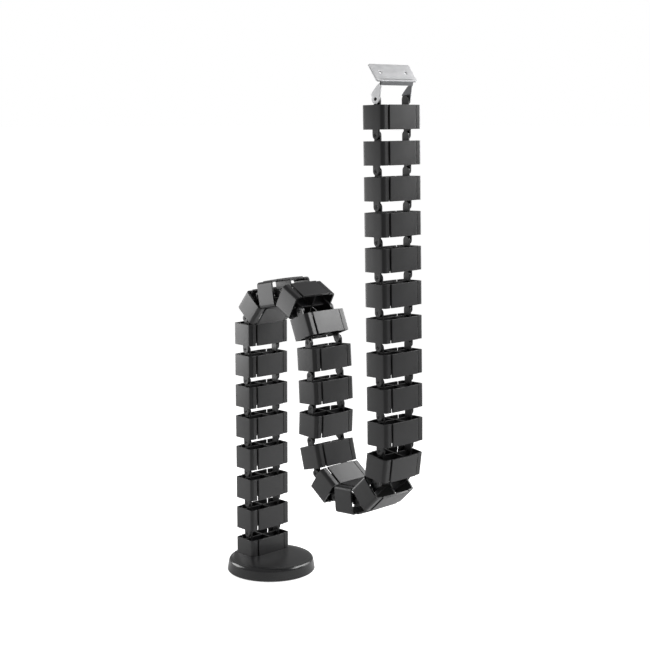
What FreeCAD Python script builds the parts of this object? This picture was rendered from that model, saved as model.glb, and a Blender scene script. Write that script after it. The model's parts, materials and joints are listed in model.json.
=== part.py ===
import FreeCAD, Part
import math
import os
import Sketcher
from FreeCAD import Placement, Rotation, Vector

# Cable spine: a weighted round base, a chain of hinged ring links with four
# cable channels each, and a sheet-steel bracket that goes under a desk top.
#
# Frame, in millimetres: +Z up, the hinge axes along X, the chain bends in the
# YZ plane. The origin is the centre of the base's underside, on the floor.

os.makedirs("parts", exist_ok=True)

doc = FreeCAD.newDocument("CableSpine")

# Sizes

SIZES = [
    # chain
    ("pitch", 42.0, "hinge to hinge along a link"),
    ("ring_height", 28.5, "height of a link's ring along the chain"),
    ("wall_width", 67.2, "over the two side walls, along the hinge axis"),
    ("wall_depth", 34.2, "over the lips of the side walls"),
    ("side_wall", 2.2, "thickness of the side walls"),
    ("corner_cut", 2.2, "bevel on the outer corners of the side walls"),
    ("panel_width", 45.0, "front and back panels"),
    ("panel_depth", 36.5, "over the front and back panels"),
    ("panel_wall", 2.5, "thickness of the panels"),
    ("slot_width", 1.5, "cable slot between a panel and a lip"),
    ("web", 2.0, "thickness of the cross inside a ring"),
    # hinge
    ("arm_inner", 22.8, "from the middle to the inner face of an upper arm"),
    ("arm_thick", 2.5, "thickness of an arm"),
    ("arm_gap", 0.3, "side clearance between two arms"),
    ("eye_radius", 5.0, "end of an arm about its hinge"),
    ("arm_root", 6.0, "how far an arm runs into its ring"),
    ("pin_radius", 1.9, "hinge pin on an upper arm, over its corners"),
    ("pin_clear", 0.06, "radial clearance of a pin in its eye"),
    ("panel_gap", 0.4, "left between the panels of two links at their hinge's stop"),
    # base
    ("column_offset", 17.0, "column axis behind the middle of the base"),
    ("ring_base_height", 30.2, "middle of the fixed ring over the floor"),
    ("base_radius", 59.2, "base cover at its foot"),
    ("base_draft", 1.6, "how much narrower the cover is at its shoulder"),
    ("shoulder_height", 17.5, "shoulder of the cover over the floor"),
    ("shoulder_round", 3.6, "rounding of the shoulder"),
    ("dome_edge", 3.6, "from the shoulder's side in to where the dome starts"),
    ("dome_height", 5.0, "rise of the dome to the fixed ring"),
    ("skirt_lift", 0.8, "foot of the cover over the floor"),
    ("skirt_wall", 3.4, "cover wall at its foot"),
    ("weight_height", 14.0, "steel weight in the cover"),
    ("weight_clear", 0.2, "weight to cover, all round"),
    ("pad_height", 1.5, "foot pad"),
    ("pad_margin", 3.8, "edge of the foot pad inside the cover's wall"),
    # bracket
    ("sheet", 2.0, "steel sheet"),
    ("plate_width", 69.2, "desk plate along the hinge axis"),
    ("plate_depth", 24.4, "desk plate across"),
    ("plate_height", 20.5, "top of the desk plate over the hinge"),
    ("plate_setback", 10.9, "front edge of the desk plate behind the hinge"),
    ("plate_round", 2.5, "corners of the desk plate"),
    ("lip_run", 3.6, "bent front lip, forward"),
    ("lip_drop", 4.1, "bent front lip, down"),
    ("ear_radius", 6.2, "bracket ear round its hinge pin"),
    ("ear_neck", 9.0, "height over the hinge from which an ear has its full depth"),
    ("ear_back", 8.6, "lower back corner of an ear behind the hinge"),
    ("ear_low", 3.5, "lower back corner of an ear under the hinge"),
    ("screw_spacing", 42.5, "between the two screw holes"),
    ("screw_hole", 2.4, "radius of a screw hole"),
    ("bracket_turn", 53.0, "lean of the bracket, from level"),
]

# the stored pose is the S in which the chain is shown: the lean from upright,
# in degrees towards -Y, that each link goes to as far as its hinge lets it
TARGETS = [0.0] * 8 + [176.0] * 5 + [177.0, 182.5, 165.1] + [-1.0] * 5 + [-1.4] * 9

sheet = doc.addObject("Spreadsheet::Sheet", "Sizes")
for row, (alias, value, note) in enumerate(SIZES, start=1):
    sheet.set("A%d" % row, alias)
    sheet.set("B%d" % row, str(value))
    sheet.setAlias("B%d" % row, alias)
    sheet.set("C%d" % row, note)
doc.recompute()


class Dim:
    """A size and the expression that gives it from the sheet."""

    def __init__(self, value, text):
        self.value = float(value)
        self.text = text

    @staticmethod
    def of(other):
        return other if isinstance(other, Dim) else Dim(other, repr(float(other)))

    def __add__(self, other):
        o = Dim.of(other)
        return Dim(self.value + o.value, "(%s + %s)" % (self.text, o.text))

    def __sub__(self, other):
        o = Dim.of(other)
        return Dim(self.value - o.value, "(%s - %s)" % (self.text, o.text))

    def __mul__(self, other):
        o = Dim.of(other)
        return Dim(self.value * o.value, "(%s * %s)" % (self.text, o.text))

    def __truediv__(self, other):
        o = Dim.of(other)
        return Dim(self.value / o.value, "(%s / %s)" % (self.text, o.text))

    def __neg__(self):
        return Dim(-self.value, "(-1 * %s)" % self.text)


def size(alias):
    return Dim(getattr(sheet, alias), "Sizes." + alias)


def hypotenuse(a, b):
    squares = a * a + b * b
    return Dim(math.sqrt(squares.value), "sqrt(%s)" % squares.text)


ZERO = Dim(0.0, "0")

# Helpers


def plane(body, role):
    return [o for o in body.Origin.OriginFeatures if o.Role == role][0]


def new_body(label):
    body = doc.addObject("PartDesign::Body", label)
    body.Label = label
    return body


def new_sketch(body, name, role, lift=None, shift=None):
    """A sketch on one of the body's own planes, lifted along its normal and shifted along its x."""
    sk = body.newObject("Sketcher::SketchObject", name)
    sk.AttachmentSupport = [(plane(body, role), "")]
    sk.MapMode = "FlatFace"
    x = shift.value if shift else 0.0
    z = lift.value if lift else 0.0
    sk.AttachmentOffset = Placement(Vector(x, 0, z), Rotation())
    if lift:
        sk.setExpression("AttachmentOffset.Base.z", lift.text)
    if shift:
        sk.setExpression("AttachmentOffset.Base.x", shift.text)
    return sk


def bind(sk, constraint, dim):
    index = sk.addConstraint(constraint)
    sk.setExpression("Constraints[%d]" % index, dim.text)


def place(sk, geo, pos, x, y):
    """Ties a point of a sketch to its own two distances from the sketch's origin."""
    for kind, d in (("DistanceX", x), ("DistanceY", y)):
        if d is ZERO:
            if kind == "DistanceX":
                sk.addConstraint(Sketcher.Constraint("PointOnObject", geo, pos, -2))
            else:
                sk.addConstraint(Sketcher.Constraint("PointOnObject", geo, pos, -1))
        else:
            bind(sk, Sketcher.Constraint(kind, -1, 1, geo, pos, d.value), d)


def outline(sk, points):
    """A closed outline of straight lines, each corner tied to the sheet."""
    n = len(points)
    xy = [Vector(x.value, y.value, 0) for x, y in points]
    first = sk.GeometryCount
    for i in range(n):
        sk.addGeometry(Part.LineSegment(xy[i], xy[(i + 1) % n]))
    for i in range(n):
        sk.addConstraint(
            Sketcher.Constraint("Coincident", first + i, 2, first + (i + 1) % n, 1)
        )
    for i, (x, y) in enumerate(points):
        place(sk, first + i, 1, x, y)


def disc(sk, x, y, radius):
    geo = sk.addGeometry(
        Part.Circle(Vector(x.value, y.value, 0), Vector(0, 0, 1), radius.value)
    )
    place(sk, geo, 3, x, y)
    bind(sk, Sketcher.Constraint("Radius", geo, radius.value), radius)


# an eight-sided outline: its corners lie at odd multiples of 22.5 degrees
OCT_SIN = round(math.sin(math.pi / 8), 5)
OCT_COS = round(math.cos(math.pi / 8), 5)
OCT_TAN = round(math.tan(math.pi / 8), 5)


def octagon(sk, x, y, corner):
    """An eight-sided outline, given by the radius over its corners."""
    near, far = corner * OCT_SIN, corner * OCT_COS
    outline(sk, [
        (x + far, y - near), (x + far, y + near), (x + near, y + far), (x - near, y + far),
        (x - far, y + near), (x - far, y - near), (x - near, y - far), (x + near, y - far),
    ])


def tongue(sk, root, tip, radius):
    """An arm's side view: straight from its root, eight-sided about its hinge at the tip."""
    way = 1.0 if tip.value > root.value else -1.0
    flat = radius * OCT_TAN
    outline(sk, [
        (-radius, root), (radius, root), (radius, tip + flat * way),
        (flat, tip + radius * way), (-flat, tip + radius * way),
        (-radius, tip + flat * way),
    ])


def pad(body, sk, name, length):
    f = body.newObject("PartDesign::Pad", name)
    f.Profile = sk
    f.Length = length.value
    f.setExpression("Length", length.text)
    return f


def mirror_x(body, name, originals):
    f = body.newObject("PartDesign::Mirrored", name)
    f.Originals = originals
    f.MirrorPlane = (plane(body, "YZ_Plane"), [""])
    body.Tip = f
    doc.recompute()
    return f


def edges_where(shape, test):
    return ["Edge%d" % i for i, e in enumerate(shape.Edges, start=1) if test(e)]


def dress(body, base, kind, name, amount, test):
    """A fillet or chamfer on the edges that pass the test."""
    doc.recompute()
    names = edges_where(base.Shape, test)
    if not names:
        raise RuntimeError("no edge for " + name)
    f = body.newObject("PartDesign::" + kind, name)
    f.Base = (base, names)
    f.setExpression("Radius" if kind == "Fillet" else "Size", amount.text)
    doc.recompute()
    return f


# A ring and its arms

half_w = size("wall_width") / 2
half_d = size("wall_depth") / 2
half_panel = size("panel_width") / 2
half_out = size("panel_depth") / 2
half_web = size("web") / 2
lip_x = half_panel + size("slot_width")
in_w = half_w - size("side_wall")
in_d = half_d - size("side_wall")
panel_in = half_out - size("panel_wall")


def ring(body, low, height):
    """A cross, a panel in front and behind and a C-shaped wall at each side: four slotted channels."""
    sk = new_sketch(body, "cross_section", "XY_Plane", low)
    outline(sk, [
        (-in_w, -half_web), (-half_web, -half_web), (-half_web, -panel_in),
        (half_web, -panel_in), (half_web, -half_web), (in_w, -half_web),
        (in_w, half_web), (half_web, half_web), (half_web, panel_in),
        (-half_web, panel_in), (-half_web, half_web), (-in_w, half_web),
    ])
    pad(body, sk, "cross", height)
    sk = new_sketch(body, "panel_section", "XY_Plane", low)
    for a, b in ((panel_in, half_out), (-half_out, -panel_in)):
        outline(sk, [(-half_panel, a), (half_panel, a), (half_panel, b), (-half_panel, b)])
    pad(body, sk, "panels", height)
    sk = new_sketch(body, "side_section", "XY_Plane", low)
    outline(sk, [
        (lip_x, -half_d), (half_w, -half_d), (half_w, half_d), (lip_x, half_d),
        (lip_x, in_d), (in_w, in_d), (in_w, -in_d), (lip_x, -in_d),
    ])
    outline(sk, [
        (-lip_x, -half_d), (-lip_x, -in_d), (-in_w, -in_d), (-in_w, in_d),
        (-lip_x, in_d), (-lip_x, half_d), (-half_w, half_d), (-half_w, -half_d),
    ])
    sides = pad(body, sk, "sides", height)

    def corner(e):
        a, b = e.Vertexes[0].Point, e.Vertexes[-1].Point
        return (
            abs(a.x - b.x) < 1e-6
            and abs(a.y - b.y) < 1e-6
            and abs(abs(a.x) - half_w.value) < 1e-4
            and abs(abs(a.y) - half_d.value) < 1e-4
        )

    return dress(body, sides, "Chamfer", "side_corners", size("corner_cut"), corner)


# pins and eyes have eight sides, and an eye's flats clear the corners of its pin
eye_corner = (size("pin_radius") + size("pin_clear")) / OCT_COS


def upper_arms(body, top, hinge):
    """Two inner arms with their hinge pins, on the side of a ring that is next to the coming link."""
    sk = new_sketch(body, "upper_arm_outline", "YZ_Plane", size("arm_inner"))
    tongue(sk, top - size("arm_root"), hinge, size("eye_radius"))
    arm = pad(body, sk, "upper_arm", size("arm_thick"))
    sk = new_sketch(body, "pin_outline", "YZ_Plane", size("arm_inner") + size("arm_thick"))
    octagon(sk, ZERO, hinge, size("pin_radius"))
    pin = pad(body, sk, "pin", size("arm_gap") + size("arm_thick"))
    doc.recompute()
    return mirror_x(body, "upper_arms_both", [arm, pin])


def lower_arms(body, bottom, hinge):
    """Two outer arms with the eyes that take the pins of the link before."""
    outer = size("arm_inner") + size("arm_thick") + size("arm_gap")
    sk = new_sketch(body, "lower_arm_outline", "YZ_Plane", outer)
    tongue(sk, bottom + size("arm_root"), hinge, size("eye_radius"))
    octagon(sk, ZERO, hinge, eye_corner)
    arm = pad(body, sk, "lower_arm", size("arm_thick"))
    doc.recompute()
    return mirror_x(body, "lower_arms_both", [arm])


# The base

column_z = size("ring_base_height")
ring_top = column_z + size("ring_height") / 2
dome_top = size("shoulder_height") + size("dome_height")
roof = size("pad_height") + size("weight_height")

shell = new_body("cover_shell")
shoulder_r = size("base_radius") - size("base_draft")
cavity_r = size("base_radius") - size("skirt_wall")
flat_r = shoulder_r - size("shoulder_round")
sk = new_sketch(shell, "cover_profile", "YZ_Plane", None, -size("column_offset"))
outline(sk, [
    (ZERO, roof), (cavity_r, roof), (cavity_r, size("skirt_lift")),
    (size("base_radius"), size("skirt_lift")),
    (shoulder_r, size("shoulder_height") - size("shoulder_round")),
    (flat_r, size("shoulder_height")),
    (ZERO, size("shoulder_height")),
])
rev = shell.newObject("PartDesign::Revolution", "cover_round")
rev.Profile = sk
rev.ReferenceAxis = (sk, ["V_Axis"])
rev.Angle = 360
doc.recompute()
ring(shell, size("shoulder_height"), ring_top - size("shoulder_height"))
upper_arms(shell, ring_top, column_z + size("pitch") / 2)

# the dome is a transition from the oblong foot of the ring to the round
# shoulder: a flat triangle on each side and a fan of flats round each corner
dome_r = (shoulder_r - size("dome_edge")).value
centre = Vector(0, -size("column_offset").value, size("shoulder_height").value)
heads = [
    Vector(x * half_w.value, y * half_out.value, dome_top.value)
    for x, y in ((1, -1), (1, 1), (-1, 1), (-1, -1))
]
FANS = 8
feet = [
    centre + Vector(math.sin(k * math.pi / 2 / FANS), -math.cos(k * math.pi / 2 / FANS), 0) * dome_r
    for k in range(4 * FANS)
]


def flat_face(*corners):
    return Part.Face(Part.makePolygon(list(corners) + [corners[0]]))


faces = [flat_face(*heads), flat_face(*feet)]
for i in range(4):
    faces.append(flat_face(heads[i], heads[(i + 1) % 4], feet[(i + 1) % 4 * FANS]))
    for k in range(FANS):
        faces.append(flat_face(heads[i], feet[i * FANS + k], feet[(i * FANS + k + 1) % (4 * FANS)]))
solid = Part.Solid(Part.Shell(faces))
if solid.Volume < 0:
    solid.reverse()
dome = doc.addObject("Part::Feature", "cover_dome")
dome.Shape = solid
doc.recompute()

cover = doc.addObject("Part::Fuse", "base_cover")
cover.Label = "base_cover"
cover.Base = shell
cover.Tool = dome
cover.Refine = True
cover.setExpression("Placement.Base.y", "Sizes.column_offset")
doc.recompute()

weight = doc.addObject("Part::Cylinder", "base_weight")
weight.Label = "base_weight"
weight.setExpression("Radius", (cavity_r - size("weight_clear")).text)
weight.setExpression("Height", "Sizes.weight_height")
weight.setExpression("Placement.Base.z", "Sizes.pad_height")

foot = doc.addObject("Part::Cylinder", "base_pad")
foot.Label = "base_pad"
foot.setExpression("Radius", (cavity_r - size("pad_margin")).text)
foot.setExpression("Height", "Sizes.pad_height")
doc.recompute()

# The links

link = new_body("link_01")
half_ring = size("ring_height") / 2
half_pitch = size("pitch") / 2
ring(link, -half_ring, size("ring_height"))
upper_arms(link, half_ring, half_pitch)
lower_arms(link, -half_ring, -half_pitch)
doc.recompute()

links = [link]
for number in range(2, len(TARGETS)):
    body = new_body("link_%02d" % number)
    copy = doc.addObject("PartDesign::FeatureBase", "same_link_%02d" % number)
    body.Group = [copy]
    copy.BaseFeature = link
    body.Tip = copy
    links.append(body)
doc.recompute()

# at its stop a hinge has brought the panels of its two links together
reach = half_pitch - half_ring - size("panel_gap") / 2
stop = 2 * math.degrees(math.atan2(reach.value, half_out.value))
leans = [TARGETS[0]]
for target in TARGETS[1:]:
    turn = max(-stop, min(stop, target - leans[-1]))
    leans.append(leans[-1] + turn)

# each link's middle follows from the one before it through their common hinge
hinge = Vector(0, size("column_offset").value, column_z.value + half_pitch.value)
for body, lean in zip(links, leans[1:]):
    along = Vector(0, -math.sin(math.radians(lean)), math.cos(math.radians(lean)))
    middle = hinge + along * half_pitch.value
    body.Placement = Placement(middle, Rotation(Vector(1, 0, 0), lean))
    hinge = middle + along * half_pitch.value

# The bracket

bracket = new_body("desk_bracket")
front = size("plate_setback")
back = size("plate_setback") + size("plate_depth")
high_z = size("plate_height")
under = high_z - size("sheet")
ear_x = size("arm_inner") + size("arm_thick") + size("arm_gap")

sk = new_sketch(bracket, "plate_side", "YZ_Plane", -size("plate_width") / 2)
outline(sk, [(front, under), (back, under), (back, high_z), (front, high_z)])
plate = pad(bracket, sk, "plate", size("plate_width"))


def upright(e):
    a, b = e.Vertexes[0].Point, e.Vertexes[-1].Point
    return abs(a.x - b.x) < 1e-6 and abs(a.y - b.y) < 1e-6


dress(bracket, plate, "Fillet", "plate_corners", size("plate_round"), upright)

lip_y, lip_z = front - size("lip_run"), high_z - size("lip_drop")
lip_length = hypotenuse(size("lip_run"), size("lip_drop"))
lip_in = size("sheet") / lip_length
bend_in = size("sheet") * (lip_length - size("lip_run")) / size("lip_drop")
sk = new_sketch(bracket, "lip_side", "YZ_Plane", -(ear_x + size("sheet")))
outline(sk, [
    (front, high_z),
    (lip_y, lip_z),
    (lip_y + lip_in * size("lip_drop"), lip_z - lip_in * size("lip_run")),
    (front + bend_in, under),
    (front + size("sheet"), high_z),
])
pad(bracket, sk, "lip", (ear_x + size("sheet")) * 2)

sk = new_sketch(bracket, "ear_side", "YZ_Plane", ear_x)
ear_r = size("ear_radius")
outline(sk, [
    (lip_y, lip_z), (-ear_r, ZERO), (size("ear_back"), -size("ear_low")),
    (front, size("ear_neck")), (front, high_z),
])
ear = pad(bracket, sk, "ear", size("sheet"))
sk = new_sketch(bracket, "ear_round", "YZ_Plane", ear_x)
disc(sk, ZERO, ZERO, ear_r)
eye = pad(bracket, sk, "ear_eye", size("sheet"))
doc.recompute()
mirror_x(bracket, "ears_both", [ear, eye])

sk = new_sketch(bracket, "pin_holes", "YZ_Plane", -(ear_x + size("sheet")))
octagon(sk, ZERO, ZERO, eye_corner)
bore = bracket.newObject("PartDesign::Pocket", "pin_bore")
bore.Profile = sk
bore.Reversed = True
bore.Length = 2 * (ear_x.value + size("sheet").value)
bore.setExpression("Length", ((ear_x + size("sheet")) * 2).text)
doc.recompute()

sk = new_sketch(bracket, "screw_holes_plan", "XY_Plane", high_z)
for side in (size("screw_spacing") / 2, -size("screw_spacing") / 2):
    disc(sk, side, front + size("plate_depth") / 2, size("screw_hole"))
holes = bracket.newObject("PartDesign::Pocket", "screw_holes")
holes.Profile = sk
holes.Length = size("sheet").value * 2
holes.setExpression("Length", (size("sheet") * 2).text)
doc.recompute()
bracket.Placement = Placement(hinge, Rotation(Vector(1, 0, 0), size("bracket_turn").value))

# Check and write

doc.recompute()
for obj in doc.Objects:
    if "Invalid" in obj.State or "Error" in obj.State:
        raise RuntimeError("%s failed: %s" % (obj.Label, obj.State))

pieces = [cover, weight, foot] + links + [bracket]
for obj in pieces:
    shape = obj.Shape
    if shape.isNull() or not shape.isValid() or len(shape.Solids) != 1:
        raise RuntimeError("%s is not one sound solid" % obj.Label)
for obj in pieces:
    obj.Shape.exportStep("parts/%s.step" % obj.Label)

print("%d pieces written, top hinge at y %.2f z %.2f" % (len(pieces), hinge.y, hinge.z))
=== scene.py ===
import json
import math

import bmesh
import bpy
from mathutils import Matrix, Vector


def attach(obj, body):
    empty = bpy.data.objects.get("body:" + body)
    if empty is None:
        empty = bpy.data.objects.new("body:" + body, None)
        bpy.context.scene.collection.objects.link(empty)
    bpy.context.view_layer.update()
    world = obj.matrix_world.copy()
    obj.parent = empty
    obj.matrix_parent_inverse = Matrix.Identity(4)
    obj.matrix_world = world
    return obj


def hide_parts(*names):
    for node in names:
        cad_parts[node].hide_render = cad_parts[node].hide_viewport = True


# Cable spine: a weighted round base, a chain of ring links in moulded charcoal
# plastic, and a zinc-plated bracket that goes under a desk top.
# Sizes are in millimetres, turned to metres where a mesh is made.

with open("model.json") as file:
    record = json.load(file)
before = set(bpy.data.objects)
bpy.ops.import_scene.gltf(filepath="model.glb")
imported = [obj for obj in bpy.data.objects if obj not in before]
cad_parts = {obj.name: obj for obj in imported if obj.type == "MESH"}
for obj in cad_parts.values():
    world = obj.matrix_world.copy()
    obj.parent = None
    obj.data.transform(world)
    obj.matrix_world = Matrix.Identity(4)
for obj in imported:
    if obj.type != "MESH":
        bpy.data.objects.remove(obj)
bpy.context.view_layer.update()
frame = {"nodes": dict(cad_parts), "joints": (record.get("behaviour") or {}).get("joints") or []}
MM = 0.001

# Sizes of the link
PITCH = 42.0
RING_HEIGHT = 28.5
WALL_WIDTH = 67.2
WALL_DEPTH = 34.2
SIDE_WALL = 2.2
CORNER_ROUND = 4.4
PANEL_WIDTH = 45.0
PANEL_DEPTH = 36.5
PANEL_WALL = 2.5
SLOT = 1.5
WEB = 2.0
WALL_BOW = 0.22
PANEL_BOW = 0.3
INNER_ARM = 22.8
ARM_THICK = 2.5
ARM_GAP = 0.3
EYE_RADIUS = 5.0
ARM_ROOT = 6.0
PIN_RADIUS = 1.9
PIN_HOLE = 2.1
PIN_BORE = 0.8
PIN_ROOT = 0.5
PIN_SHORT = 0.25
SLOT_ROUND = 0.6
SLOT_INNER_ROUND = 0.4
CHANNEL_ROUND = 0.8
RING_EDGE = 0.2
ARM_EDGE = 0.3

# Sizes of the base
COLUMN_OFFSET = 17.0
RING_BASE_HEIGHT = 30.2
BASE_RADIUS = 59.2
BASE_DRAFT = 1.6
SHOULDER_HEIGHT = 17.5
SHOULDER_ROUND = 5.0
DOME_HEIGHT = 5.0
SKIRT_LIFT = 0.8
SKIRT_WALL = 3.4
SKIRT_EDGE = 0.5
ROOF = 15.5

# Sizes of the bracket
SHEET = 2.0
PLATE_WIDTH = 69.2
PLATE_DEPTH = 24.4
PLATE_HEIGHT = 20.5
PLATE_SETBACK = 10.9
PLATE_ROUND = 2.5
LIP_RUN = 3.6
LIP_DROP = 4.1
LIP_OVERLAP = 3.0
BEND_OUTSIDE = 3.5
BEND_INSIDE = 1.5
SHEET_CORNER = 0.3
SHEET_EDGE = 0.25
EAR_RADIUS = 6.2
EAR_NECK = 9.0
EAR_BACK = 8.6
EAR_LOW = 3.5
EAR_HEEL_ROUND = 1.2
EAR_NECK_ROUND = 3.0
EAR_LIP_ROUND = 0.5
EAR_TOP_GAP = 0.4
EAR_ARC_SHORT = 0.08  # radians
SCREW_SPACING = 42.5
SCREW_HOLE = 2.4
BRACKET_LEAN = 53.0  # degrees

# How finely rounds are divided
EDGE_STEPS = 3
ARC_STEP = 15  # degrees
BOW_STEPS = 6
ARM_STEPS = 14
EAR_STEPS = 20
PIN_SIDES = 24
BORE_SIDES = 12
SCREW_SIDES = 32
SHOULDER_STEPS = 8
BASE_SIDES = 160
DOME_STEPS = 16


# Materials
def linear(hex_colour):
    """An sRGB hex colour as the linear colour that a shader takes."""
    parts = [int(hex_colour[i:i + 2], 16) / 255 for i in (1, 3, 5)]
    return [c / 12.92 if c <= 0.04045 else ((c + 0.055) / 1.055) ** 2.4 for c in parts] + [1.0]


def node(tree, kind, links=None, **settings):
    """Adds a node, sets its properties and sockets, and links its inputs."""
    made = tree.nodes.new(kind)
    for name, value in settings.items():
        if hasattr(made, name):
            setattr(made, name, value)
        else:
            made.inputs[name.replace("_", " ")].default_value = value
    for name, source in (links or {}).items():
        tree.links.new(source, made.inputs[name])
    return made


def new_material(name):
    material = bpy.data.materials.new(name)
    material.use_nodes = True
    material.node_tree.nodes.clear()
    return material, material.node_tree


def moulded_charcoal_plastic():
    """Spark-eroded polypropylene: a satin charcoal with a fine even grain and slow changes in gloss."""
    material, tree = new_material("moulded_charcoal_polypropylene")
    grain_size, flow_size = 0.45 * MM, 38 * MM
    place = node(tree, "ShaderNodeTexCoord").outputs["Object"]
    grain = node(tree, "ShaderNodeTexNoise", {"Vector": place}, Scale=1 / grain_size, Detail=2.0)
    flow = node(tree, "ShaderNodeTexNoise", {"Vector": place}, Scale=1 / flow_size, Detail=3.0)
    tone = node(tree, "ShaderNodeMix", {"Factor": flow.outputs["Fac"]}, data_type="RGBA")
    tone.inputs["A"].default_value = linear("#1D1D1E")
    tone.inputs["B"].default_value = linear("#232324")
    gloss = node(tree, "ShaderNodeMapRange", {"Value": flow.outputs["Fac"]})
    gloss.inputs["From Min"].default_value = 0.3
    gloss.inputs["From Max"].default_value = 0.7
    gloss.inputs["To Min"].default_value = 0.32
    gloss.inputs["To Max"].default_value = 0.4
    height = {"Height": grain.outputs["Fac"]}
    bump = node(tree, "ShaderNodeBump", height, Strength=0.18, Distance=0.05 * MM)
    inputs = {
        "Base Color": tone.outputs["Result"],
        "Roughness": gloss.outputs["Result"],
        "Normal": bump.outputs["Normal"],
    }
    shader = node(tree, "ShaderNodeBsdfPrincipled", inputs, IOR=1.49)
    node(tree, "ShaderNodeOutputMaterial", {"Surface": shader.outputs["BSDF"]})
    return material


def glossy_cover_plastic():
    """The base cover: charcoal ABS, satin on the dome and smoother on its rounded shoulder."""
    material, tree = new_material("moulded_charcoal_abs_smooth")
    grain_size, flow_size = 0.6 * MM, 45 * MM
    satin_reach, smooth_reach = (BASE_RADIUS - 9.0) * MM, (BASE_RADIUS - 6.0) * MM
    place = node(tree, "ShaderNodeTexCoord").outputs["Object"]
    grain = node(tree, "ShaderNodeTexNoise", {"Vector": place}, Scale=1 / grain_size, Detail=2.0)
    flow = node(tree, "ShaderNodeTexNoise", {"Vector": place}, Scale=1 / flow_size, Detail=3.0)
    tone = node(tree, "ShaderNodeMix", {"Factor": flow.outputs["Fac"]}, data_type="RGBA")
    tone.inputs["A"].default_value = linear("#1B1B1C")
    tone.inputs["B"].default_value = linear("#202021")
    height = {"Height": grain.outputs["Fac"]}
    bump = node(tree, "ShaderNodeBump", height, Strength=0.03, Distance=0.04 * MM)
    flat = node(tree, "ShaderNodeVectorMath", {0: place}, operation="MULTIPLY")
    flat.inputs[1].default_value = (1.0, 1.0, 0.0)
    reach = node(tree, "ShaderNodeVectorMath", {0: flat.outputs["Vector"]}, operation="LENGTH")
    gloss = node(tree, "ShaderNodeMapRange", {"Value": reach.outputs["Value"]})
    gloss.interpolation_type = "SMOOTHSTEP"
    gloss.inputs["From Min"].default_value = satin_reach
    gloss.inputs["From Max"].default_value = smooth_reach
    gloss.inputs["To Min"].default_value = 0.33
    gloss.inputs["To Max"].default_value = 0.22
    inputs = {
        "Base Color": tone.outputs["Result"],
        "Roughness": gloss.outputs["Result"],
        "Normal": bump.outputs["Normal"],
    }
    shader = node(tree, "ShaderNodeBsdfPrincipled", inputs, IOR=1.53)
    node(tree, "ShaderNodeOutputMaterial", {"Surface": shader.outputs["BSDF"]})
    return material


def zinc_plated_steel():
    """Cold-rolled sheet, clear zinc plating: pale grey, a little cloudy, faint rolling lines along X."""
    material, tree = new_material("zinc_plated_steel")
    line_width, cloud_size = 0.5 * MM, 9 * MM
    place = node(tree, "ShaderNodeTexCoord").outputs["Object"]
    stretch = node(tree, "ShaderNodeMapping", {"Vector": place})
    stretch.inputs["Scale"].default_value = (0.05, 1.0, 1.0)
    along = stretch.outputs["Vector"]
    lines = node(tree, "ShaderNodeTexNoise", {"Vector": along}, Scale=1 / line_width, Detail=3.0)
    cloud = node(tree, "ShaderNodeTexNoise", {"Vector": place}, Scale=1 / cloud_size, Detail=4.0)
    tone = node(tree, "ShaderNodeMix", {"Factor": cloud.outputs["Fac"]}, data_type="RGBA")
    tone.inputs["A"].default_value = linear("#C9CACC")
    tone.inputs["B"].default_value = linear("#DEDEDF")
    gloss = node(tree, "ShaderNodeMapRange", {"Value": cloud.outputs["Fac"]})
    gloss.inputs["To Min"].default_value = 0.34
    gloss.inputs["To Max"].default_value = 0.5
    height = {"Height": lines.outputs["Fac"]}
    bump = node(tree, "ShaderNodeBump", height, Strength=0.12, Distance=0.03 * MM)
    inputs = {
        "Base Color": tone.outputs["Result"],
        "Roughness": gloss.outputs["Result"],
        "Normal": bump.outputs["Normal"],
    }
    shader = node(tree, "ShaderNodeBsdfPrincipled", inputs, Metallic=0.85)
    node(tree, "ShaderNodeOutputMaterial", {"Surface": shader.outputs["BSDF"]})
    return material


def zinc_with_painted_shade():
    """Painted shade: the bracket's front edge, bent lip and inner ear faces get a dark grey, matt zinc
    that stands in for the shade falling on them.
    """
    material, tree = new_material("zinc_plated_steel_painted_shade")
    cloud_size = 4 * MM
    place = node(tree, "ShaderNodeTexCoord").outputs["Object"]
    cloud = node(tree, "ShaderNodeTexNoise", {"Vector": place}, Scale=1 / cloud_size, Detail=4.0)
    tone = node(tree, "ShaderNodeMix", {"Factor": cloud.outputs["Fac"]}, data_type="RGBA")
    tone.inputs["A"].default_value = linear("#5A5B5C")
    tone.inputs["B"].default_value = linear("#747578")
    height = {"Height": cloud.outputs["Fac"]}
    bump = node(tree, "ShaderNodeBump", height, Strength=0.2, Distance=0.03 * MM)
    inputs = {"Base Color": tone.outputs["Result"], "Normal": bump.outputs["Normal"]}
    shader = node(tree, "ShaderNodeBsdfPrincipled", inputs, Metallic=0.7, Roughness=0.5)
    node(tree, "ShaderNodeOutputMaterial", {"Surface": shader.outputs["BSDF"]})
    return material


def foot_rubber():
    """Matt foot pad: a dull near-black sheet with a fine open grain."""
    material, tree = new_material("foot_pad_rubber")
    grain_size = 0.8 * MM
    place = node(tree, "ShaderNodeTexCoord").outputs["Object"]
    grain = node(tree, "ShaderNodeTexNoise", {"Vector": place}, Scale=1 / grain_size, Detail=3.0)
    tone = node(tree, "ShaderNodeMix", {"Factor": grain.outputs["Fac"]}, data_type="RGBA")
    tone.inputs["A"].default_value = linear("#161616")
    tone.inputs["B"].default_value = linear("#202020")
    height = {"Height": grain.outputs["Fac"]}
    bump = node(tree, "ShaderNodeBump", height, Strength=0.35, Distance=0.15 * MM)
    inputs = {"Base Color": tone.outputs["Result"], "Normal": bump.outputs["Normal"]}
    shader = node(tree, "ShaderNodeBsdfPrincipled", inputs, Roughness=0.85)
    node(tree, "ShaderNodeOutputMaterial", {"Surface": shader.outputs["BSDF"]})
    return material


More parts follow.
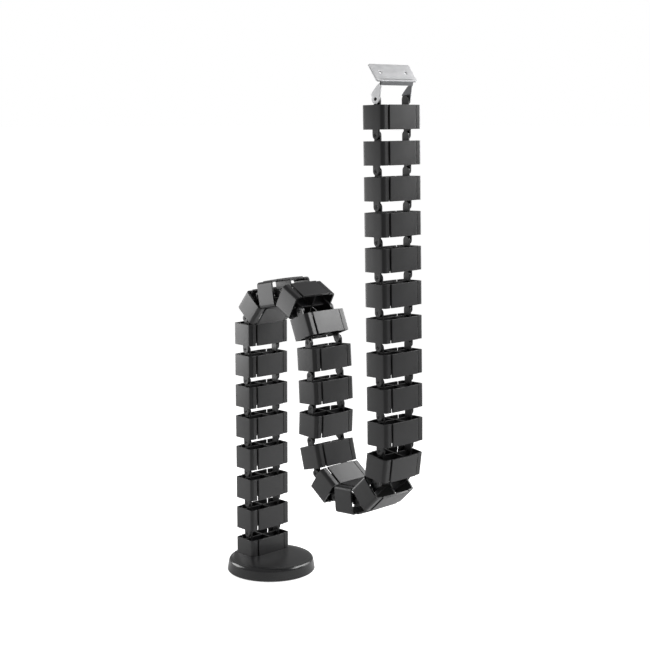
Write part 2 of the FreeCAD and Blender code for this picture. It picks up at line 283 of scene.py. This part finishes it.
PLASTIC = moulded_charcoal_plastic()
COVER = glossy_cover_plastic()
STEEL = zinc_plated_steel()
# the dark grey zinc is painted shade for the bracket's lip, front edge and inner ear faces
PAINTED_SHADE_STEEL = zinc_with_painted_shade()
RUBBER = foot_rubber()


# Outlines
def rounded(corners):
    """A closed outline with an arc at each corner (x, y, radius), divided about every ARC_STEP."""
    points = []
    count = len(corners)
    for i, (x, y, radius) in enumerate(corners):
        here = Vector((x, y))
        before = (Vector(corners[i - 1][:2]) - here).normalized()
        after = (Vector(corners[(i + 1) % count][:2]) - here).normalized()
        if radius == 0:
            points.append(here)
            continue
        half = before.angle(after) / 2
        centre = here + (before + after).normalized() * (radius / math.sin(half))
        start = here + before * (radius / math.tan(half)) - centre
        turn = before.cross(after)
        sweep = math.copysign(math.pi - 2 * half, -turn)
        steps = max(2, round(math.degrees(abs(sweep)) / ARC_STEP))
        for k in range(steps + 1):
            points.append(centre + Matrix.Rotation(sweep * k / steps, 2) @ start)
    return points


def ring_of(centre, radius, count):
    """The corners of an even polygon that stands in for a circle."""
    return [
        Vector((centre[0] + radius * math.cos(2 * math.pi * k / count),
                centre[1] + radius * math.sin(2 * math.pi * k / count)))
        for k in range(count)
    ]


def inset(points, amount):
    """An outline moved into its solid all round: a solid's runs anticlockwise, a hole's clockwise."""
    moved = []
    count = len(points)
    for i, here in enumerate(points):
        into = (here - points[i - 1]).normalized()
        out = (points[(i + 1) % count] - here).normalized()
        left_in, left_out = Vector((-into.y, into.x)), Vector((-out.y, out.x))
        bisector = (left_in + left_out).normalized()
        moved.append(here + bisector * (amount / max(0.5, bisector.dot(left_in))))
    return moved


# Solids
ALONG_Z = Matrix.Identity(4)
ALONG_X = Matrix(((0, 0, 1, 0), (1, 0, 0, 0), (0, 1, 0, 0), (0, 0, 0, 1)))


def prism(bm, outline, low, high, edge, holes=(), turn=ALONG_Z):
    """An outline, with holes, pulled from low to high with a small round on both ends' edges."""
    levels = []
    for k in range(EDGE_STEPS + 1):
        angle = math.pi / 2 * k / EDGE_STEPS
        levels.append((low + edge * (1 - math.sin(angle)), edge * (1 - math.cos(angle))))
    levels = levels[::-1] + [(high + low - height, step) for height, step in levels]
    caps = []
    for ring in (outline, *holes):
        loops = [
            [bm.verts.new(turn @ Vector((p.x * MM, p.y * MM, height * MM))) for p in inset(ring, step)]
            for height, step in levels
        ]
        for lower, upper in zip(loops, loops[1:]):
            for i in range(len(ring)):
                bm.faces.new((lower[i - 1], lower[i], upper[i], upper[i - 1]))
        caps.append((loops[0], loops[-1]))
    if not holes:
        bm.faces.new(caps[0][0][::-1])
        bm.faces.new(caps[0][1])
        return
    for side in (0, 1):
        edges = [
            bm.edges.get((loop[i - 1], loop[i]))
            for loop in (pair[side] for pair in caps) for i in range(len(loop))
        ]
        bmesh.ops.triangle_fill(bm, use_beauty=True, use_dissolve=False, edges=edges)


def spin(bm, profile, steps):
    """A closed profile of (radius, height) points turned round the Z axis."""
    loops = []
    for radius, height in profile:
        if radius == 0:
            loops.append([bm.verts.new((0, 0, height * MM))])
            continue
        circle = ring_of((0, 0), radius, steps)
        loops.append([bm.verts.new((p.x * MM, p.y * MM, height * MM)) for p in circle])
    for a, b in zip(loops, loops[1:] + loops[:1]):
        if len(a) == 1 and len(b) == 1:
            continue
        for k in range(steps):
            if len(a) == 1:
                bm.faces.new((a[0], b[k], b[k - 1]))
            elif len(b) == 1:
                bm.faces.new((a[k - 1], a[k], b[0]))
            else:
                bm.faces.new((a[k - 1], a[k], b[k], b[k - 1]))


def finish_mesh(bm, name, finishes, crease=50):
    """Turns the solids into a mesh that shades round, but for edges that turn over crease degrees."""
    bmesh.ops.recalc_face_normals(bm, faces=bm.faces)
    mesh = bpy.data.meshes.new(name)
    bm.to_mesh(mesh)
    bm.free()
    mesh.shade_smooth()
    mesh.set_sharp_from_angle(angle=math.radians(crease))
    for finish in finishes:
        mesh.materials.append(finish)
    return mesh


def piece(name, mesh, body, replaced, place=Matrix.Identity(4)):
    """A visible piece that rides on its body and stands in for the frame's node of that name."""
    made = bpy.data.objects.new(name, mesh)
    bpy.context.scene.collection.objects.link(made)
    made.matrix_world = place
    flats = made.modifiers.new("even_flats", "WEIGHTED_NORMAL")
    flats.keep_sharp = True
    flats.weight = 100
    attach(made, body)
    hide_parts(replaced)


# The ring section
def bowed(start, end, rise):
    """Points between two corners of an outline, bowed outward as moulded walls are, without the ends."""
    start, end = Vector(start), Vector(end)
    out = Vector((end - start).normalized().yx)
    out.y = -out.y
    shares = [k / BOW_STEPS for k in range(1, BOW_STEPS)]
    return [start.lerp(end, share) + out * (rise * 4 * share * (1 - share)) for share in shares]


def ring_outline():
    """The ring from above: a quarter from a side wall to a panel, four times, with bows between."""
    half_w, half_d = WALL_WIDTH / 2, WALL_DEPTH / 2
    panel_x, panel_y = PANEL_WIDTH / 2, PANEL_DEPTH / 2
    lip_x = panel_x + SLOT
    in_w, in_d = half_w - SIDE_WALL, half_d - SIDE_WALL
    panel_in = panel_y - PANEL_WALL
    web = WEB / 2
    quarter = [
        (half_w, half_d, CORNER_ROUND),
        (lip_x, half_d, SLOT_ROUND),
        (lip_x, in_d, SLOT_INNER_ROUND),
        (in_w, in_d, CORNER_ROUND - SIDE_WALL),
        (in_w, web, CHANNEL_ROUND),
        (web, web, CHANNEL_ROUND),
        (web, panel_in, CHANNEL_ROUND),
        (panel_x, panel_in, SLOT_INNER_ROUND),
        (panel_x, panel_y, SLOT_ROUND),
    ]
    wall_end = half_d - CORNER_ROUND
    wall = [(p.x, p.y, 0) for p in bowed((half_w, -wall_end), (half_w, wall_end), WALL_BOW)]
    panel_end = panel_x - SLOT_ROUND
    panel = [(p.x, p.y, 0) for p in bowed((panel_end, panel_y), (-panel_end, panel_y), PANEL_BOW)]
    corners = quarter + panel
    corners += [(-x, y, r) for x, y, r in reversed(quarter)]
    corners += [(-x, -y, r) for x, y, r in wall]
    corners += [(-x, -y, r) for x, y, r in quarter]
    corners += [(-x, -y, r) for x, y, r in panel]
    corners += [(x, -y, r) for x, y, r in reversed(quarter)]
    corners += wall
    return rounded(corners)


def arm_outline(root, tip, radius):
    """A tongue in side view: straight from its root, round about its hinge."""
    way = 1 if tip > root else -1
    turns = [math.pi * k / ARM_STEPS for k in range(ARM_STEPS + 1)]
    end = [Vector((radius * math.cos(turn), tip + way * radius * math.sin(turn))) for turn in turns]
    points = [Vector((radius, root))] + end + [Vector((-radius, root))]
    return points if way > 0 else points[::-1]


RING = ring_outline()
OUTER_ARM = INNER_ARM + ARM_THICK + ARM_GAP


def upper_arms(bm, top, hinge):
    """The two inner arms above a ring, each with its bored pin."""
    tongue = arm_outline(top - ARM_ROOT, hinge, EYE_RADIUS)
    pin = ring_of((0, hinge), PIN_RADIUS, PIN_SIDES)
    bore = ring_of((0, hinge), PIN_BORE, BORE_SIDES)[::-1]
    pin_start, pin_end = INNER_ARM + ARM_THICK - PIN_ROOT, OUTER_ARM + ARM_THICK - PIN_SHORT
    for side in (1, -1):
        near, far = sorted((side * INNER_ARM, side * (INNER_ARM + ARM_THICK)))
        prism(bm, tongue, near, far, ARM_EDGE, turn=ALONG_X)
        near, far = sorted((side * pin_start, side * pin_end))
        prism(bm, pin, near, far, ARM_EDGE, holes=[bore], turn=ALONG_X)


def lower_arms(bm, bottom, hinge):
    """The two outer arms below a ring, each with the eye that takes a pin."""
    tongue = arm_outline(bottom + ARM_ROOT, hinge, EYE_RADIUS)
    eye = ring_of((0, hinge), PIN_HOLE, PIN_SIDES)[::-1]
    for side in (1, -1):
        near, far = sorted((side * OUTER_ARM, side * (OUTER_ARM + ARM_THICK)))
        prism(bm, tongue, near, far, ARM_EDGE, holes=[eye], turn=ALONG_X)


def link_mesh():
    bm = bmesh.new()
    prism(bm, RING, -RING_HEIGHT / 2, RING_HEIGHT / 2, RING_EDGE)
    upper_arms(bm, RING_HEIGHT / 2, PITCH / 2)
    lower_arms(bm, -RING_HEIGHT / 2, -PITCH / 2)
    return finish_mesh(bm, "ring_link", [PLASTIC])


# The links hang between the hinges that the frame gives
hinges = [Vector(joint["pos_m"]) for joint in frame["joints"]]
LINK = link_mesh()
for number, (low, high) in enumerate(zip(hinges, hinges[1:]), start=1):
    along = (high - low).normalized()
    lean = math.atan2(-along.y, along.z)
    place = Matrix.Translation((low + high) / 2) @ Matrix.Rotation(lean, 4, "X")
    name = "link_%02d" % number
    piece("ring_" + name, LINK, name, name, place)


# The base cover: a round skirt, a dome that turns from round to oblong, and the fixed ring
def skirt(bm):
    """The hollow skirt with its roof and its rounded shoulder."""
    inside = BASE_RADIUS - SKIRT_WALL
    profile = [
        (0, ROOF), (inside, ROOF), (inside, SKIRT_LIFT),
        (BASE_RADIUS - SKIRT_EDGE, SKIRT_LIFT), (BASE_RADIUS, SKIRT_LIFT + SKIRT_EDGE),
    ]
    for k in range(SHOULDER_STEPS + 1):
        angle = math.pi / 2 * k / SHOULDER_STEPS
        profile.append((BASE_RADIUS - BASE_DRAFT - SHOULDER_ROUND * (1 - math.cos(angle)),
                        SHOULDER_HEIGHT - SHOULDER_ROUND * (1 - math.sin(angle))))
    profile.append((0, SHOULDER_HEIGHT))
    spin(bm, profile, BASE_SIDES)


def dome(bm):
    """The low dome: a round foot joined to the oblong of the ring, a fan of faces from each corner."""
    foot_radius = BASE_RADIUS - BASE_DRAFT - SHOULDER_ROUND
    top = SHOULDER_HEIGHT + DOME_HEIGHT
    steps = DOME_STEPS
    angles = [math.pi / 2 * k / steps for k in range(4 * steps)]
    feet = [
        Vector((math.sin(angle) * foot_radius, -math.cos(angle) * foot_radius, SHOULDER_HEIGHT))
        for angle in angles
    ]
    heads = [
        Vector((x * WALL_WIDTH / 2, COLUMN_OFFSET + y * PANEL_DEPTH / 2, top))
        for x, y in ((1, -1), (1, 1), (-1, 1), (-1, -1))
    ]
    foot_verts = [bm.verts.new(p * MM) for p in feet]
    head_verts = [bm.verts.new(p * MM) for p in heads]
    bm.faces.new(foot_verts[::-1])
    bm.faces.new(head_verts)
    for i in range(4):
        bm.faces.new((head_verts[i], foot_verts[(i + 1) % 4 * steps], head_verts[(i + 1) % 4]))
        for k in range(steps):
            a, b = i * steps + k, (i * steps + k + 1) % (4 * steps)
            bm.faces.new((head_verts[i], foot_verts[a], foot_verts[b]))


def base_cover():
    bm = bmesh.new()
    skirt(bm)
    dome(bm)
    before = set(bm.verts)
    ring_top = RING_BASE_HEIGHT + RING_HEIGHT / 2
    prism(bm, RING, SHOULDER_HEIGHT, ring_top, RING_EDGE)
    upper_arms(bm, ring_top, RING_BASE_HEIGHT + PITCH / 2)
    added = [v for v in bm.verts if v not in before]
    bmesh.ops.transform(bm, matrix=Matrix.Translation((0, COLUMN_OFFSET * MM, 0)), verts=added)
    return finish_mesh(bm, "base_cover_round", [COVER], crease=12)


piece("cover_with_ring", base_cover(), "base", "base_cover")


# The foot pad and the weight keep their solids
for name, material in (("base_weight", STEEL), ("base_pad", RUBBER)):
    mesh = frame["nodes"][name].data
    for index in range(len(mesh.materials)):
        mesh.materials[index] = material


# The bracket: plate, bent lip and two ears, in its own frame about the hinge
def ear_outline(front, lip_y, lip_z):
    """In side view: round the hinge to the heel, up the back edge to the plate and down the lip."""
    start = math.atan2(lip_z, lip_y) + math.acos(EAR_RADIUS / math.hypot(lip_y, lip_z))
    end = 2 * math.pi - math.atan2(EAR_LOW, EAR_BACK) - EAR_ARC_SHORT
    arc = [start + (end - start) * k / EAR_STEPS for k in range(EAR_STEPS + 1)]
    return rounded([(EAR_RADIUS * math.cos(a), EAR_RADIUS * math.sin(a), 0) for a in arc] + [
        (EAR_BACK, -EAR_LOW, EAR_HEEL_ROUND),
        (front, EAR_NECK, EAR_NECK_ROUND),
        (front, PLATE_HEIGHT - EAR_TOP_GAP, SHEET_CORNER),
        (lip_y, lip_z, EAR_LIP_ROUND),
    ])


def lip_outline(front, lip_y, lip_z):
    """The bend in side view: from the plate round to the lip's end, and back along its underside."""
    under = PLATE_HEIGHT - SHEET
    length = math.hypot(LIP_RUN, LIP_DROP)
    return rounded([
        (front + LIP_OVERLAP, PLATE_HEIGHT, 0),
        (front, PLATE_HEIGHT, BEND_OUTSIDE),
        (lip_y, lip_z, SHEET_CORNER),
        (lip_y + SHEET * LIP_DROP / length, lip_z - SHEET * LIP_RUN / length, SHEET_CORNER),
        (front + SHEET * (length - LIP_RUN) / LIP_DROP, under, BEND_INSIDE),
        (front + LIP_OVERLAP, under, 0),
    ])


def paint_shade_on(faces, chosen):
    """Gives the painted shade (the dark grey zinc) to the faces whose middle, in millimetres, is chosen.
    """
    for face in faces:
        if chosen(face.calc_center_median() / MM):
            face.material_index = 1


def bracket():
    bm = bmesh.new()
    front, back = PLATE_SETBACK, PLATE_SETBACK + PLATE_DEPTH
    under = PLATE_HEIGHT - SHEET
    lip_y, lip_z = front - LIP_RUN, PLATE_HEIGHT - LIP_DROP
    half = PLATE_WIDTH / 2
    corners = ((-half, front), (half, front), (half, back), (-half, back))
    plate = rounded([(x, y, PLATE_ROUND) for x, y in corners])
    screw_y = front + PLATE_DEPTH / 2
    screw_xs = (-SCREW_SPACING / 2, SCREW_SPACING / 2)
    holes = [ring_of((x, screw_y), SCREW_HOLE, SCREW_SIDES)[::-1] for x in screw_xs]
    prism(bm, plate, under, PLATE_HEIGHT, SHEET_EDGE, holes=holes)
    # the plate's front edge, between its top and bottom faces, gets painted shade, which also dims its
    # highlight
    skin = 0.05
    paint_shade_on(bm.faces, lambda at: at.y < front + 0.5 and under + skin < at.z < PLATE_HEIGHT - skin)
    # the lip gets painted shade from where its bend leaves the plate
    done = set(bm.faces)
    lip_end = OUTER_ARM + SHEET
    prism(bm, lip_outline(front, lip_y, lip_z), -lip_end, lip_end, SHEET_EDGE, turn=ALONG_X)
    paint_shade_on(set(bm.faces) - done, lambda at: at.y < front + 0.4 and at.z < PLATE_HEIGHT - 0.2)
    # the ears get painted shade on their inner faces
    ear = ear_outline(front, lip_y, lip_z)
    eye = ring_of((0, 0), PIN_HOLE, PIN_SIDES)[::-1]
    for side in (1, -1):
        near, far = sorted((side * OUTER_ARM, side * (OUTER_ARM + SHEET)))
        done = set(bm.faces)
        prism(bm, ear, near, far, SHEET_EDGE, holes=[eye], turn=ALONG_X)
        paint_shade_on(set(bm.faces) - done, lambda at: abs(at.x) < OUTER_ARM + 0.1)
    # material 1 is the dark grey zinc that paints shade on the lip, front edge and inner ear faces
    return finish_mesh(bm, "desk_bracket_bent", [STEEL, PAINTED_SHADE_STEEL])


top_hinge = hinges[-1]
bracket_place = Matrix.Translation(top_hinge) @ Matrix.Rotation(math.radians(BRACKET_LEAN), 4, "X")
piece("bent_sheet_bracket", bracket(), "desk_bracket", "desk_bracket", bracket_place)


# Camera: where the photograph was taken from
CAMERA_PLACE = Vector((-1.1919, -1.3446, 0.6103))  # metres
CAMERA_YAW = 43.9
CAMERA_PITCH = 8.71
CAMERA_ROLL = -0.05
FOCAL_PIXELS = 1368.6
FRAME_PIXELS = 650
SENSOR = 36.0


def make_camera():
    yaw, pitch = math.radians(CAMERA_YAW), math.radians(CAMERA_PITCH)
    ahead = Vector((math.sin(yaw) * math.cos(pitch), math.cos(yaw) * math.cos(pitch), -math.sin(pitch)))
    right = Vector((math.cos(yaw), -math.sin(yaw), 0))
    up = right.cross(ahead)
    turn = Matrix((right, up, -ahead)).transposed().to_4x4()
    data = bpy.data.cameras.new("camera")
    data.sensor_width = SENSOR
    data.lens = FOCAL_PIXELS / FRAME_PIXELS * SENSOR
    data.clip_end = 200
    camera = bpy.data.objects.new("camera", data)
    camera.matrix_world = (
        Matrix.Translation(CAMERA_PLACE) @ turn @ Matrix.Rotation(math.radians(CAMERA_ROLL), 4, "Z")
    )
    bpy.context.scene.collection.objects.link(camera)
    bpy.context.scene.camera = camera


make_camera()


# Floor, light and background, in metres and watts
FLOOR_REACH = 60.0
FLOOR_LIFT = 0.7
ROOM_LEVEL = 0.35
SOFTBOX_SIDE = 0.5
AIM = Vector((0.0, -0.1, 0.3))


def make_floor():
    """A white floor, lifted for the camera to the white behind it, that keeps the object's shadow."""
    bm = bmesh.new()
    bmesh.ops.create_grid(bm, x_segments=1, y_segments=1, size=FLOOR_REACH)
    mesh = bpy.data.meshes.new("floor")
    bm.to_mesh(mesh)
    bm.free()
    floor = bpy.data.objects.new("floor", mesh)
    bpy.context.scene.collection.objects.link(floor)
    material, tree = new_material("white_paper_floor")
    seen = node(tree, "ShaderNodeLightPath")
    matt = node(tree, "ShaderNodeBsdfDiffuse")
    matt.inputs["Color"].default_value = linear("#F4F4F4")
    lift = node(tree, "ShaderNodeMath", {0: seen.outputs["Is Camera Ray"]}, operation="MULTIPLY")
    lift.inputs[1].default_value = FLOOR_LIFT
    glow = node(tree, "ShaderNodeEmission", {"Strength": lift.outputs["Value"]})
    both = node(tree, "ShaderNodeAddShader", {0: matt.outputs["BSDF"], 1: glow.outputs["Emission"]})
    node(tree, "ShaderNodeOutputMaterial", {"Surface": both.outputs["Shader"]})
    mesh.materials.append(material)


def make_world():
    """A plain white studio: the camera sees it white, and it lights the object softly."""
    world = bpy.data.worlds.new("studio")
    bpy.context.scene.world = world
    world.use_nodes = True
    tree = world.node_tree
    tree.nodes.clear()
    seen = node(tree, "ShaderNodeLightPath")
    level = node(tree, "ShaderNodeMix", {"Factor": seen.outputs["Is Camera Ray"]}, A=ROOM_LEVEL, B=1.0)
    sky = node(tree, "ShaderNodeBackground", {"Strength": level.outputs["Result"]}, Color=(1, 1, 1, 1))
    node(tree, "ShaderNodeOutputWorld", {"Surface": sky.outputs["Background"]})


def softbox(name, place, watts):
    """A square softbox, turned to the middle of the chain and kept out of the camera's view."""
    data = bpy.data.lights.new(name, "AREA")
    data.shape = "SQUARE"
    data.size = SOFTBOX_SIDE
    data.energy = watts
    light = bpy.data.objects.new(name, data)
    light.location = place
    light.rotation_euler = (AIM - Vector(place)).to_track_quat("-Z", "Y").to_euler()
    light.visible_camera = False
    bpy.context.scene.collection.objects.link(light)


make_floor()
make_world()
softbox("right_front_softbox", (0.90, -1.00, 1.095), 9.3)
softbox("right_high_softbox", (0.711, -0.29, 0.725), 4.5)
softbox("right_low_softbox", (0.818, -0.319, 0.374), 2.3)
softbox("left_back_softbox", (-0.358, 0.667, 0.374), 5.0)

bpy.context.scene.view_settings.view_transform = "Standard"
